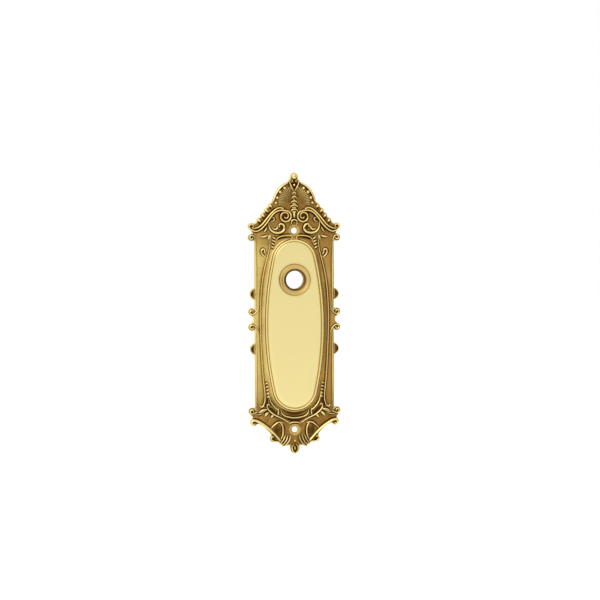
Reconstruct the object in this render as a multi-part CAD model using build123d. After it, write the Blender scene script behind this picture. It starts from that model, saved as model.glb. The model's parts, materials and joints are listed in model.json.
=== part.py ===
"""Door backplate: one brass casting, in millimetres.

The plate is drawn flat, x to the right, y up the door and z out from the door, with the spindle axis at
the origin and the door at z = 0. The last step stands it up, so that +Z is up and the front looks along -Y.
"""
import os
from math import atan2, cos, degrees, pi, radians, sin

from build123d import *

# Plate
SIDE = 30.8
FIELD = 3.2
EDGE_CHAMFER = 1.2

# Oval panel, and the rim and cove round it
PANEL_HALF_WIDTH = 21.0
PANEL_TOP = 29.5
PANEL_BOTTOM = -99.3
PANEL_END_RADIUS = 15.5
PANEL_LEVEL = 5.2
PANEL_MARGIN = 4.0
PANEL_EDGE = 4.6
RIM_WIDTH = 1.9
RIM_TOP = 5.6
COVE_WIDTH = 2.8

# Boss and hole for the knob's shank
SPINDLE_RADIUS = 7.0
SPINDLE_CHAMFER = 1.6
BOSS_RADIUS = 12.1
BOSS_SHOULDER = 6.6
BOSS_TOP = 8.4
COLLAR_WALL = 3.0

# Screw holes
SCREW_TOP = 37.9
SCREW_BOTTOM = -116.1
SCREW_RADIUS = 2.3
SINK_RADIUS = 3.9
SINK_DEPTH = 1.6

# Hollow behind the panel
HOLLOW_MARGIN = 1.0
HOLLOW_DEPTH = 2.4

# Scrolls at the outline: the radius of each curl and how far its middle stands out from the side
CURL_RADIUS = 2.9
CURL_OUT = 2.2
CURL_CUT = 30.0
LUG_REACH = 3.8
LUG_HALF_HEIGHT = 4.6

# Relief: heights above the field, and how a ridge narrows from the field to its top
LOW = 0.8
MIDDLE = 1.3
HIGH = 1.9
RIDGE_ROOT = 0.6
RIDGE_CROWN = 0.4
HUSK_HEIGHT = 2.4
BEND_GAP = 0.22
BEND_MOST = 1.0

# The sizes at which the carving's points below were drawn
DRAWN_SIDE = 30.8
DRAWN_TOP = 29.5
DRAWN_BOTTOM = -99.3


def at(x, y):
    """Moves a drawn point with the plate: x with the side, y with the nearer end of the panel."""
    if y >= DRAWN_TOP:
        moved = y - DRAWN_TOP + PANEL_TOP
    elif y <= DRAWN_BOTTOM:
        moved = y - DRAWN_BOTTOM + PANEL_BOTTOM
    else:
        share = (y - DRAWN_BOTTOM) / (DRAWN_TOP - DRAWN_BOTTOM)
        moved = PANEL_BOTTOM + share * (PANEL_TOP - PANEL_BOTTOM)
    return (x * SIDE / DRAWN_SIDE, moved)


def polar(centre, radius, angle):
    """The point at this radius and angle from a centre."""
    return (centre[0] + radius * cos(radians(angle)), centre[1] + radius * sin(radians(angle)))


def arc_round(centre, radius, start, end):
    """A turn about a centre from one angle to another, in short straight cuts."""
    cuts = round(abs(end - start) / CURL_CUT)
    return Polyline(*(polar(centre, radius, start + (end - start) * step / cuts) for step in range(cuts + 1)))


def bulged(start, end, bulge):
    """An arc between two points that swells to the left of the way it runs."""
    along = Vector(*end) - Vector(*start)
    out = Vector(-along.Y, along.X).normalized() * bulge
    middle = (Vector(*start) + Vector(*end)) * 0.5 + out
    return ThreePointArc(start, middle, end)


def curl_centre(y):
    """The middle of a curl on the plate's side."""
    return (SIDE + CURL_OUT, at(0, y)[1])


def joined(edges):
    """Adds straight lines where one edge's end isn't the next one's start."""
    chain = []
    for edge in edges:
        if chain and (chain[-1] @ 1 - edge @ 0).length > 1e-6:
            chain.append(Line(chain[-1] @ 1, edge @ 0))
        chain += edge.edges()
    return chain


def lug(y):
    """The outline of a half-round tab on the plate's side."""
    middle = at(0, y)[1]
    return ThreePointArc(
        (SIDE, middle + LUG_HALF_HEIGHT), (SIDE + LUG_REACH, middle), (SIDE, middle - LUG_HALF_HEIGHT)
    )


def right_outline():
    """The right half of the outline, from the top bud down to the bottom one."""
    lobes = [at(17.0, 60.2), at(20.4, 56.3), at(23.3, 52.5), at(26.1, 48.6), at(29.6, 44.6)]
    edges = [
        ThreePointArc(at(0, 82.6), at(2.4, 81.2), at(2.9, 78.4)),
        ThreePointArc(at(2.9, 78.4), at(3.2, 76.8), at(4.6, 75.7)),
        ThreePointArc(at(4.6, 75.7), at(12.4, 70.4), lobes[0]),
    ]
    edges += [bulged(start, end, 0.6) for start, end in zip(lobes, lobes[1:])]
    edges += [
        arc_round(curl_centre(41.2), CURL_RADIUS, 130, -75),
        Line(at(32.6, 36.5), at(32.8, 35.9)),
        arc_round(curl_centre(32.6), CURL_RADIUS, 85, -139),
        lug(-10.9),
        arc_round(curl_centre(-24.6), CURL_RADIUS, 139, -70),
    ]
    above = polar(curl_centre(-24.6), CURL_RADIUS, -70)
    below = polar(curl_centre(-36.6), CURL_RADIUS, 70)
    edges += [
        ThreePointArc(above, at(31.9, -30.6), below),
        arc_round(curl_centre(-36.6), CURL_RADIUS, 70, -139),
        lug(-53.4),
        arc_round(curl_centre(-101.4), CURL_RADIUS, 139, -55),
        Line(at(33.4, -106.0), at(33.0, -107.4)),
        arc_round(at(31.6, -110.2), CURL_RADIUS, 65, -110),
        ThreePointArc(at(28.4, -111.2), at(23.2, -114.6), at(18.8, -119.6)),
        arc_round(at(16.6, -123.0), 2.8, 50, -115),
        Line(at(12.8, -125.9), at(12.4, -126.2)),
        bulged(at(12.4, -126.2), at(11.2, -127.6), 0.3),
        bulged(at(10.1, -127.5), at(9.3, -129.3), 0.3),
        Line(at(5.4, -128.4), at(3.4, -128.6)),
        ThreePointArc(at(3.4, -128.6), at(2.8, -132.9), at(0, -135.0)),
    ]
    return joined(edges)


def plate():
    """The flat plate, its outline the same on both sides, with a chamfer along its long front edges."""
    right = right_outline()
    left = [mirror(edge, about=Plane.YZ) for edge in right]
    slab = extrude(make_face(right + left), amount=FIELD)
    front = slab.faces().sort_by(Axis.Z)[-1].edges()
    sides = front.filter_by(Axis.Y).filter_by(lambda edge: edge.length > 5)
    slopes = front.filter_by(GeomType.CIRCLE).filter_by(lambda edge: edge.length > 12)
    return chamfer(sides + slopes, length=EDGE_CHAMFER)


def oval_arcs():
    """The panel's outline as four arcs: each one's centre, radius, start angle and turn."""
    middle = (PANEL_TOP + PANEL_BOTTOM) / 2
    reach = (PANEL_TOP - PANEL_BOTTOM) / 2 - PANEL_END_RADIUS
    spread = PANEL_HALF_WIDTH - PANEL_END_RADIUS
    side_radius = PANEL_END_RADIUS + (spread**2 + reach**2) / (2 * spread)
    offset = side_radius - PANEL_HALF_WIDTH
    lean = degrees(atan2(reach, offset))
    return [
        ((-offset, middle), side_radius, -lean, 2 * lean),
        ((0, middle + reach), PANEL_END_RADIUS, lean, 180 - 2 * lean),
        ((offset, middle), side_radius, 180 - lean, 2 * lean),
        ((0, middle - reach), PANEL_END_RADIUS, 180 + lean, 180 - 2 * lean),
    ]


def oval_face(grow):
    """The panel's outline, grown outwards, as a flat face."""
    arcs = oval_arcs()
    return make_face([CenterArc(centre, radius + grow, start, turn) for centre, radius, start, turn in arcs])


def frame():
    """The panel's sloped margin, the rounded rim outside it and the cove that falls to the field."""
    foot = FIELD - RIDGE_ROOT
    section = make_face(
        Polyline(
            (-PANEL_MARGIN, foot),
            (-PANEL_MARGIN, PANEL_LEVEL),
            (0, PANEL_EDGE),
            (RIM_WIDTH * 0.3, RIM_TOP),
            (RIM_WIDTH * 0.65, RIM_TOP),
            (RIM_WIDTH, PANEL_EDGE),
            (RIM_WIDTH + COVE_WIDTH * 0.35, FIELD + (PANEL_EDGE - FIELD) * 0.3),
            (RIM_WIDTH + COVE_WIDTH, FIELD - 0.1),
            (RIM_WIDTH + COVE_WIDTH, foot),
            (-PANEL_MARGIN, foot),
        )
    )
    pieces = []
    for centre, radius, start, turn in oval_arcs():
        placed = Pos(*centre) * (Rot(Z=start) * (Pos(X=radius) * (Plane.XZ * section)))
        pieces.append(revolve(placed, axis=Axis((*centre, 0), (0, 0, 1)), revolution_arc=turn))
    return pieces


def panel():
    """The flat middle of the oval panel."""
    return extrude(oval_face(-PANEL_MARGIN), amount=PANEL_LEVEL)


def boss():
    """The round boss on the panel, with its collar that reaches back to the door."""
    section = make_face(
        Polyline(
            (0, 0),
            (SPINDLE_RADIUS + COLLAR_WALL, 0),
            (SPINDLE_RADIUS + COLLAR_WALL, FIELD),
            (BOSS_RADIUS, FIELD),
            (BOSS_RADIUS, BOSS_SHOULDER),
            (SPINDLE_RADIUS + SPINDLE_CHAMFER + 0.6, BOSS_TOP),
            (0, BOSS_TOP),
            (0, 0),
        )
    )
    return revolve(Plane.XZ * section, axis=Axis.Z)


def stations(spine):
    """Shares of a curve's length where a ridge on it bends, so that its straight parts stay near it."""
    marks, turned, last = [0.0], 0.0, spine % 0
    for step in range(1, 401):
        share = step / 400
        turned += radians(last.get_angle(spine % share))
        last = spine % share
        if turned * (share - marks[-1]) * spine.length > 8 * BEND_GAP or turned > BEND_MOST:
            marks.append(share)
            turned = 0.0
    if 1 - marks[-1] < 0.3 / len(marks):
        marks.pop()
    return marks + [1.0]


def strip(spine, marks, half_widths, share, level):
    """A strip along a curve at one height. Half widths are at its start, middle and end."""
    start, middle, end = [width * share for width in half_widths]
    left, right = [], []
    for mark in marks:
        outer = start if mark < 0.5 else end
        half = outer + (middle - outer) * sin(pi * mark)
        tangent = spine % mark
        side = Vector(-tangent.Y, tangent.X) * half
        left.append((spine @ mark) + side)
        right.append((spine @ mark) - side)
    return Pos(Z=level) * make_face(Polyline(*left, *reversed(right), close=True))


def ridge(points, half_widths, height):
    """A sloped ridge on the field along a curve through these points, wider at its foot than at its top."""
    spine = Spline(*points)
    marks = stations(spine)
    if len(marks) == 2 and half_widths[1] > half_widths[0]:
        marks.insert(1, 0.5)
    foot = strip(spine, marks, half_widths, 1.0 + RIDGE_ROOT * 0.3, FIELD - RIDGE_ROOT)
    crown = strip(spine, marks, half_widths, RIDGE_CROWN, FIELD + height)
    return loft([foot, crown], ruled=True)


def drawn(*points):
    """Drawn points, moved with the plate."""
    return [at(x, y) for x, y in points]


def spiral(centre, outer, inner, start, turn, count, ease=1.0):
    """Points along a spiral from one radius to another. A larger ease keeps it open for longer."""
    points = []
    for index in range(count):
        share = index / (count - 1)
        points.append(polar(centre, outer + (inner - outer) * share**ease, start + turn * share))
    return points


def pearl(point, radius):
    """A bead on the field, cut to a domed eight-sided shape."""
    levels = ((-RIDGE_ROOT, 1.0), (radius * 0.55, 0.85), (radius, 0.4))
    rings = [Pos(*point, FIELD + up) * RegularPolygon(radius * share, 8) for up, share in levels]
    return loft(rings, ruled=True)


def husk(tip, half):
    """One husk of the chain on the centre line: a half-round leaf that narrows to its top."""
    levels = ((FIELD - RIDGE_ROOT, 1.1), (FIELD + MIDDLE, 0.55))
    outlines = []
    for level, share in levels:
        arch = [polar((0, 0), share, angle) for angle in range(0, 181, 30)]
        points = [(half * x, HUSK_HEIGHT * (y - 0.6) + tip[1] - 0.4 * HUSK_HEIGHT) for x, y in arch]
        outlines.append(Pos(Z=level) * make_face(Polyline(*points, close=True)))
    return loft(outlines, ruled=True)


def shell():
    """The shell's rim, its flutes and its beads, on the right."""
    rim = drawn((4.9, 74.7), (8.3, 72.9), (11.8, 69.8), (14.4, 65.6), (16.2, 60.6))
    parts = [ridge(rim, (0.5, 0.8, 0.6), HIGH)]
    parts.append(ridge(drawn((0.4, 69.8), (1.8, 71.2), (3.1, 73.6), (3.5, 75.6)), (0.4, 0.6, 0.4), MIDDLE))
    parts.append(pearl(at(1.7, 76.0), 0.9))
    for angle in range(-8, 80, 11):
        centre = at(0, 60)
        line = [polar(centre, reach, angle) for reach in (4.4, 8.2, 11.6)]
        parts.append(ridge(line, (0.3, 0.3, 0.6), LOW))
    for x, y, radius in ((7.4, 70.7, 1.4), (10.9, 67.7, 1.45), (13.1, 63.3, 1.4), (14.2, 59.4, 1.25)):
        parts.append(pearl(at(x, y), radius))
    return parts


def s_scroll():
    """The long S-scroll: two ridges side by side from the corner curl, and the volute at its upper end."""
    upper = drawn((32.4, 39.5), (29.6, 39.9), (26.3, 41.7), (23.3, 44.8), (20.3, 48.6), (16.9, 52.3))
    upper += drawn((13.6, 54.8), (11.0, 55.6), (8.6, 54.9))
    lower = drawn((10.6, 53.7), (12.6, 53.2), (15.4, 51.6), (18.0, 48.7), (20.5, 45.2), (23.5, 41.4))
    lower += drawn((26.5, 38.8), (29.4, 37.5), (32.2, 38.0))
    corner = spiral(curl_centre(41.2), 2.1, 0.9, -45, 330, 8)
    volute = drawn((12.0, 53.2), (9.2, 53.6), (6.2, 53.1))
    volute += spiral(at(6.9, 48.9), 4.4, 1.2, 130, 500, 12, 1.5)
    return [
        ridge(upper, (0.5, 0.75, 0.6), HIGH),
        ridge(lower + corner, (0.5, 0.75, 0.35), HIGH),
        ridge(volute, (0.3, 0.65, 0.45), HIGH),
    ]


def slope_leaves():
    """The small leaves between the S-scroll and the lobed edge above it."""
    parts = []
    for x, y in ((18.2, 57.0), (21.2, 53.8), (24.0, 50.1), (26.7, 46.6)):
        parts.append(ridge(drawn((x - 1.1, y - 0.6), (x + 1.1, y + 0.5)), (0.3, 0.7, 0.4), LOW))
    return parts


def corner_curls():
    """The small curls at the plate's corners and along its sides."""
    lower_top = drawn((30.0, 30.4)) + spiral(curl_centre(32.6), 2.1, 0.8, 170, -350, 8)
    upper_side = drawn((27.9, -20.4), (29.0, -23.4)) + spiral(curl_centre(-24.6), 2.1, 0.8, 215, 350, 8)
    lower_side = drawn((27.9, -40.8), (29.0, -37.8)) + spiral(curl_centre(-36.6), 2.1, 0.8, 145, -350, 8)
    upper_foot = drawn((29.4, -101.8)) + spiral(curl_centre(-101.4), 2.1, 0.8, 225, 340, 8)
    curls = (lower_top, upper_side, lower_side, upper_foot)
    return [ridge(line, (0.4, 0.6, 0.35), MIDDLE) for line in curls]


def leaf_scrolls():
    """The C-scroll, curls and sprigs between the S-scroll and the panel."""
    c_scroll = drawn((19.7, 45.0), (19.6, 41.6), (18.3, 38.6), (15.4, 36.6), (12.0, 36.3), (9.2, 37.3))
    c_scroll += drawn((7.7, 39.5), (8.2, 41.9), (10.0, 43.2), (11.5, 42.5))
    strap = drawn((2.2, 33.2), (3.4, 34.0), (5.8, 34.2), (9.3, 33.8), (12.6, 32.5), (14.2, 30.4))
    strap += drawn((14.9, 27.6))
    tendril = drawn((18.6, 44.9), (16.7, 45.2), (15.5, 46.4), (15.9, 47.9), (17.0, 48.0))
    parts = [
        ridge(c_scroll, (0.4, 0.75, 0.5), MIDDLE),
        ridge(strap, (0.5, 0.6, 0.4), MIDDLE),
        ridge(tendril, (0.3, 0.5, 0.4), LOW),
        ridge(drawn((17.5, 40.2), (15.2, 38.9), (13.2, 39.7), (12.6, 41.4)), (0.3, 0.6, 0.4), LOW),
        ridge(drawn((18.9, 35.3), (19.7, 33.0), (20.3, 30.2)), (0.2, 0.8, 0.2), LOW),
        ridge(drawn((19.9, 35.1), (22.8, 33.5), (26.5, 33.3)), (0.2, 0.8, 0.2), LOW),
        ridge(drawn((20.8, 41.5), (22.2, 38.6), (24.2, 36.3)), (0.2, 0.6, 0.2), LOW),
    ]
    for x, y in ((15.55, 32.2), (15.95, 29.9), (16.5, 27.65), (16.8, 25.15)):
        parts.append(ridge(drawn((x - 1.3, y - 0.9), (x, y), (x + 1.3, y + 0.9)), (0.6, 0.6, 0.6), MIDDLE))
    return parts


def outer_bead():
    """The bead that runs down outside the cove, from the curl at its top to the curl at its foot."""
    upper = drawn((18.6, 34.4), (18.8, 30.0), (19.3, 25.0), (20.3, 20.0), (21.6, 15.0), (23.4, 7.5))
    upper += drawn((24.9, -1.0))
    lower = drawn((26.0, -13.0), (26.5, -28.0), (26.3, -42.0), (25.6, -58.0), (24.6, -74.0), (24.0, -80.0))
    foot = drawn((23.4, -86.0), (23.2, -91.0), (24.0, -95.5), (25.2, -97.7), (26.5, -98.1), (27.2, -97.0))
    curl = drawn((21.4, 17.2), (23.6, 18.4), (25.3, 20.7), (25.4, 22.9), (24.0, 23.8), (22.9, 22.6))
    curl += drawn((23.4, 21.3))
    return [
        ridge(upper + lower + foot, (0.5, 0.65, 0.6), MIDDLE),
        ridge(curl, (0.4, 0.6, 0.45), LOW),
        ridge(drawn((21.2, 19.6), (22.4, 20.5), (23.4, 22.0)), (0.2, 0.5, 0.3), LOW),
    ]


def lower_spray():
    """The husks, petals and leaves round the panel's lower end, on the right."""
    inner = drawn((20.8, -86.5), (19.6, -91.5), (18.1, -95.3), (15.7, -98.4), (13.2, -100.6))
    petal = drawn((19.4, -96.9), (20.8, -96.0), (21.6, -97.5), (20.9, -99.8), (18.6, -102.3), (15.5, -104.6))
    petal += drawn((12.2, -106.2), (8.4, -108.2), (4.8, -110.6))
    parts = [
        ridge(inner, (0.4, 0.6, 0.5), MIDDLE),
        ridge(petal, (0.4, 0.65, 0.4), MIDDLE),
        ridge(drawn((13.0, -99.6), (12.9, -102.2), (13.3, -104.8)), (0.4, 0.7, 0.4), MIDDLE),
        ridge(drawn((21.2, -100.0), (24.6, -100.8), (28.4, -103.0)), (0.3, 1.2, 0.3), MIDDLE),
        ridge(drawn((19.9, -102.3), (22.0, -103.5), (23.5, -105.3)), (0.3, 1.15, 0.3), MIDDLE),
        ridge(drawn((16.2, -104.2), (17.6, -105.2), (18.9, -106.7)), (0.3, 1.0, 0.3), MIDDLE),
    ]
    for step in range(5):
        x, y = 21.9 - 0.3 * step, -79.8 - 2.6 * step
        parts.append(ridge(drawn((x - 1.1, y + 0.5), (x, y), (x + 1.1, y - 0.5)), (0.65, 0.65, 0.65), MIDDLE))
    return parts


def lower_band():
    """The rolled band along the lower slope with its curl, the fan and the pendant's leaves, on the right."""
    band = drawn((31.2, -110.9), (32.3, -111.7), (33.4, -110.4), (32.7, -108.6), (30.4, -108.6))
    band += drawn((27.0, -110.2), (23.0, -112.9), (19.0, -116.2), (15.2, -120.2), (11.6, -124.2))
    under = drawn((12.8, -125.0), (15.3, -125.1), (17.8, -124.1), (18.4, -122.3), (17.4, -121.0))
    under += drawn((16.3, -122.0))
    fan_top = drawn((8.8, -111.0), (12.2, -110.0), (15.8, -111.9), (18.8, -114.9))
    fan_side = drawn((11.4, -110.4), (9.9, -112.6), (9.2, -116.2), (9.7, -120.4), (11.0, -123.4))
    return [
        ridge(band, (0.4, 0.8, 0.6), HIGH),
        ridge(under, (0.4, 0.65, 0.4), MIDDLE),
        ridge(fan_top, (0.3, 0.65, 0.4), MIDDLE),
        ridge(fan_side, (0.4, 0.75, 0.5), MIDDLE),
        ridge(drawn((3.8, -122.4), (4.9, -125.4), (8.0, -128.4)), (0.3, 0.7, 0.3), MIDDLE),
        ridge(drawn((6.0, -122.6), (7.3, -125.1), (9.7, -127.9)), (0.3, 0.7, 0.3), MIDDLE),
        ridge(drawn((8.0, -122.8), (9.4, -124.7), (11.3, -126.7)), (0.3, 0.6, 0.3), MIDDLE),
    ]


def lugs():
    """The rims round the tabs on the right side."""
    parts = []
    for y in (-10.9, -53.4):
        middle = at(0, y)[1]
        rim = []
        for angle in (70, 40, 0, -40, -70):
            out = (LUG_REACH - 0.9) * cos(radians(angle))
            along = LUG_HALF_HEIGHT * 0.85 * sin(radians(angle))
            rim.append((SIDE + out, middle + along))
        parts.append(ridge(rim, (0.4, 0.5, 0.4), LOW))
    return parts


def across(points):
    """Drawn points on the right, with their mirror images, as one curve from left to right."""
    right = drawn(*points)
    left = [(-x, y) for x, y in reversed(right) if x > 0]
    return left + right


def middle_line():
    """What stands on the centre line: buds, drop, husks, straps and beads."""
    bell = across(((0, 46.4), (1.7, 45.6), (2.3, 44.0), (1.7, 42.6)))
    strap = across(((0, -106.8), (5.0, -106.2), (8.8, -104.7), (10.5, -102.6), (10.7, -100.6)))
    tie = across(((0, -110.2), (2.6, -110.5), (4.8, -111.4)))
    parts = [
        ridge(drawn((0, 78.2), (0, 79.8), (0, 81.2)), (1.4, 2.0, 0.7), HIGH),
        pearl(at(0, 73.0), 1.3),
        ridge(drawn((0, 51.8), (0, 49.6), (0, 47.6)), (0.8, 1.0, 0.4), MIDDLE),
        ridge(bell, (0.4, 0.6, 0.4), MIDDLE),
        ridge(strap, (0.4, 0.6, 0.4), MIDDLE),
        ridge(tie, (0.3, 0.6, 0.3), MIDDLE),
        pearl(at(0, -124.6), 1.0),
        ridge(drawn((0, -127.8), (0, -130.4), (0, -133.2)), (1.2, 2.3, 0.7), HIGH),
    ]
    for y, half in ((67.4, 1.5), (64.6, 2.2), (61.6, 3.0), (58.4, 3.5), (55.2, 3.0)):
        parts.append(husk(at(0, y), half))
    return parts


def carving():
    """All the relief: the right side, its mirror image and the centre line."""
    right = shell() + s_scroll() + slope_leaves() + corner_curls() + leaf_scrolls()
    right += outer_bead() + lower_spray() + lower_band() + lugs()
    left = [mirror(part, about=Plane.YZ) for part in right]
    return right + left + middle_line()


def screw_hole(y):
    """A screw hole with its countersink, as a solid to take away."""
    section = make_face(
        Polyline(
            (0, -1),
            (SCREW_RADIUS, -1),
            (SCREW_RADIUS, FIELD - SINK_DEPTH),
            (SINK_RADIUS, FIELD),
            (SINK_RADIUS, BOSS_TOP),
            (0, BOSS_TOP),
            (0, -1),
        )
    )
    return Pos(Y=y) * revolve(Plane.XZ * section, axis=Axis.Z)


def spindle_hole():
    """The hole for the knob's shank, opened out at the front, as a solid to take away."""
    section = make_face(
        Polyline(
            (0, -1),
            (SPINDLE_RADIUS, -1),
            (SPINDLE_RADIUS, BOSS_TOP - SPINDLE_CHAMFER),
            (SPINDLE_RADIUS + SPINDLE_CHAMFER, BOSS_TOP),
            (SPINDLE_RADIUS + SPINDLE_CHAMFER, BOSS_TOP + 1),
            (0, BOSS_TOP + 1),
            (0, -1),
        )
    )
    return revolve(Plane.XZ * section, axis=Axis.Z)


def hollow():
    """The hollow behind the panel, with the boss's collar left standing in it."""
    collar = Cylinder(SPINDLE_RADIUS + COLLAR_WALL, 4 * HOLLOW_DEPTH)
    return extrude(oval_face(-HOLLOW_MARGIN), amount=HOLLOW_DEPTH) - collar


def backplate():
    """The whole casting, stood up with its front along -Y."""
    body = plate() + frame() + [panel(), boss()] + carving()
    body = body - hollow() - screw_hole(SCREW_TOP) - screw_hole(SCREW_BOTTOM) - spindle_hole()
    return Rot(X=90) * body


os.makedirs("parts", exist_ok=True)
solid = backplate()
solid.label = "backplate"
export_step(solid, "parts/backplate.step")
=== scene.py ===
"""Looks of the door backplate: one brass casting with a brown patina and painted shade in its carving.

Shapes are drawn flat in millimetres, x to the right, y up the door and z out from it, with the spindle
axis at the origin. The finished mesh is stood up and scaled to metres, with its front along -Y.
"""

import json
from math import atan2, ceil, cos, dist, pi, radians, sin

import bmesh
import bpy
from mathutils import Euler, Matrix, Vector
from mathutils.kdtree import KDTree

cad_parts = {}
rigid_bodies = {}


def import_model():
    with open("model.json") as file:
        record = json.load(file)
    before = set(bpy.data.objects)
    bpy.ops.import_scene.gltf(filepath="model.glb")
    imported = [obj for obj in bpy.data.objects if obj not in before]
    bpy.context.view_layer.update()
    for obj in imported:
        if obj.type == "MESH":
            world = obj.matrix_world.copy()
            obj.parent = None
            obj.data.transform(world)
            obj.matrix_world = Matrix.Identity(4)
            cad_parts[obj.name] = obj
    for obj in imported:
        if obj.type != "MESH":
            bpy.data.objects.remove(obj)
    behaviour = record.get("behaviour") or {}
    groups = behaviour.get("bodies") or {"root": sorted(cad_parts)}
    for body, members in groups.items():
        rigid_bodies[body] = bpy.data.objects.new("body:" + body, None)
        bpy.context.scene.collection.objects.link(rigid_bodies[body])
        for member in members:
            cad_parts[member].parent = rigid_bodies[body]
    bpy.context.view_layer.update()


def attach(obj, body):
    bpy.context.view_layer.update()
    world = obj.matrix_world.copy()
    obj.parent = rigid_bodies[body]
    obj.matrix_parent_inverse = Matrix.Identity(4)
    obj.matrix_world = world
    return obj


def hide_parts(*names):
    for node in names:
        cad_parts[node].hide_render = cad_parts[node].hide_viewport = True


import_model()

# Plate
SIDE = 30.8
FIELD = 3.2
EDGE_ROUND = 0.7
ARC_CUT = 0.7

# Oval panel, with its rim and cove, and the hollow behind it
PANEL_HALF_WIDTH = 21.0
PANEL_TOP = 29.5
PANEL_BOTTOM = -99.3
PANEL_END_RADIUS = 15.5
PANEL_LEVEL = 5.2
HOLLOW_MARGIN = 1.0
HOLLOW_DEPTH = 2.4

# Boss and hole for the knob's shank
SPINDLE_RADIUS = 7.0
BOSS_RADIUS = 12.1
BOSS_TOP = 8.4
COLLAR_WALL = 3.0

# Screw holes
SCREW_TOP = 37.9
SCREW_BOTTOM = -116.1
SCREW_RADIUS = 2.3
SINK_RADIUS = 3.9
SINK_DEPTH = 1.6

# Curls and tabs on the outline
CURL_RADIUS = 2.85
CURL_OUT = 2.2
TAB_REACH = 3.8
TAB_HALF_HEIGHT = 4.6

# Relief: heights above the field, and how far a ridge's middle lies below the field
LOW = 0.8
MIDDLE = 1.3
HIGH = 1.9
FLUTE = 0.5
BORDER = 0.55
RIDGE_SINK = 0.12
RIDGE_SPREAD = 1.2
MOAT_WIDTH = 0.75
MOAT_DEPTH = 0.44
FAINT_MOAT = 0.28
POCKET = 0.9
SHALLOW_POCKET = 0.55
SLIT = 2.2

# Mesh: cuts round and along a tube, its rounded ends, and what is too small to keep
TUBE_ROUND = 4
TUBE_CUTS = 4
CAP_ANGLES = (radians(50), radians(85))
OVAL_STEPS = 44
TURN_STEPS = 72
SHARP_ANGLE = 35
TOO_SMALL = 0.002
SPECK = 100

# Marks on the mesh: width of the bright outer edge, and how far a face must lean to count as the back
EDGE_BAND = 0.95
BACK_LEAN = 0.3

# Camera, in millimetres and degrees: picture width at the plate, and where the picture's centre lies
PICTURE_WIDTH = 464.0
CAMERA_DISTANCE = 1500.0
CAMERA_AZIMUTH = -8.0
CAMERA_ELEVATION = 2.5
CAMERA_ROLL = 0.2
AIM_RIGHT = 4.7
AIM_DOWN = 15.8

# Stage, in metres
FLOOR_LEVEL = -0.32
FLOOR_HALF = 6.0
FLOOR_GLOW = 0.5
SKY_DIM = 0.6
SCREEN_HALF = 0.5
SCREEN_PLACE = (1.2, -0.7, 0.0)
KEY_PLACE = (-0.9, -1.0, 0.9)
KEY_AIM = (0, 0, -0.03)
KEY_SIZE = 1.2
KEY_POWER = 6.0

# Patina and painted shade: heights above the door, and heights up the door, between which one colour gives
# way to another
RIDGE_FLANK = (3.3, 3.9)
PANEL_STEP = (4.6, 5.0)
POCKET_SIDE = (3.1, 2.7)
RECESS_FADE = (3.6, 4.6)
POLISH = (3.3, 4.6)
BOSS_STEP = (5.8, 6.4)
CARVED_ENDS = ((10, 45), (-70, -105))
PANEL_ENDS = ((29, 35), (-99, -104))
BORE_MOUTH = 8.4

# Brass, as linear colours
BRIGHT = (0.81, 0.69, 0.31)
RIDGE_GOLD = (0.82, 0.64, 0.25)
EDGE_TINT = (0.97, 0.78, 0.40)
FIELD_GOLD = (0.68, 0.515, 0.16)
FIELD_BROWN = (0.44, 0.25, 0.062)
CARVED_GOLD = (0.41, 0.238, 0.056)
CARVED_BROWN = (0.29, 0.15, 0.031)
# Dark patina and painted shade in the pockets
POCKET_PATINA_AND_SHADE = (0.075, 0.034, 0.006)
SINK_GOLD = (0.70, 0.56, 0.21)
BOSS_TAN = (0.60, 0.43, 0.15)
GRAIN_BROWN = (0.20, 0.11, 0.026)
# Brown of the ring round the hole, also used as painted shade round the boss's foot
BORE_BROWN_AND_FOOT_SHADE = (0.15, 0.075, 0.018)
CAST_PALE = (0.46, 0.33, 0.13)
CAST_DULL = (0.34, 0.225, 0.08)
# Dark patina and painted shade in the carving's corners, and a lighter mix of both in its open middle
CORNER_PATINA_AND_SHADE = (0.075, 0.028, 0.004)
OPEN_PATINA_AND_SHADE = (0.14, 0.07, 0.017)

moats = bpy.data.collections.new("moats")
relief = bpy.data.collections.new("relief")
cuts = bpy.data.collections.new("cuts")
for group in (moats, relief, cuts):
    bpy.context.scene.collection.children.link(group)


# Drawing

def polar(centre, radius, angle):
    """The point at this radius and angle, in degrees, from a centre."""
    return (centre[0] + radius * cos(radians(angle)), centre[1] + radius * sin(radians(angle)))


def turn(centre, radius, start, end):
    """Points round a centre from one angle to another."""
    count = max(2, round(abs(radians(end - start)) * radius / ARC_CUT))
    return [polar(centre, radius, start + (end - start) * step / count) for step in range(count + 1)]


def bow(start, end, bulge):
    """Points on an arc between two points that swells to the left of the way it runs."""
    chord = Vector(end) - Vector(start)
    half = chord.length / 2
    radius = (half**2 + bulge**2) / (2 * bulge)
    left = Vector((-chord.y, chord.x)).normalized()
    centre = (Vector(start) + Vector(end)) / 2 + left * (bulge - radius)
    first = atan2(start[1] - centre.y, start[0] - centre.x)
    last = atan2(end[1] - centre.y, end[0] - centre.x)
    sweep = (last - first + pi) % (2 * pi) - pi
    reach = abs(radius)
    count = max(2, round(abs(sweep) * reach / ARC_CUT))
    points = []
    for step in range(count + 1):
        angle = first + sweep * step / count
        points.append((centre.x + reach * cos(angle), centre.y + reach * sin(angle)))
    return points


def spiral(centre, outer, inner, start, sweep, count, ease=1.0):
    """Points along a spiral from one radius to another. A larger ease keeps it open for longer."""
    points = []
    for index in range(count):
        share = index / (count - 1)
        points.append(polar(centre, outer + (inner - outer) * share**ease, start + sweep * share))
    return points


def curl_centre(y):
    """The middle of a curl on the plate's side."""
    return (SIDE + CURL_OUT, y)


# Making solids

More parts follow.
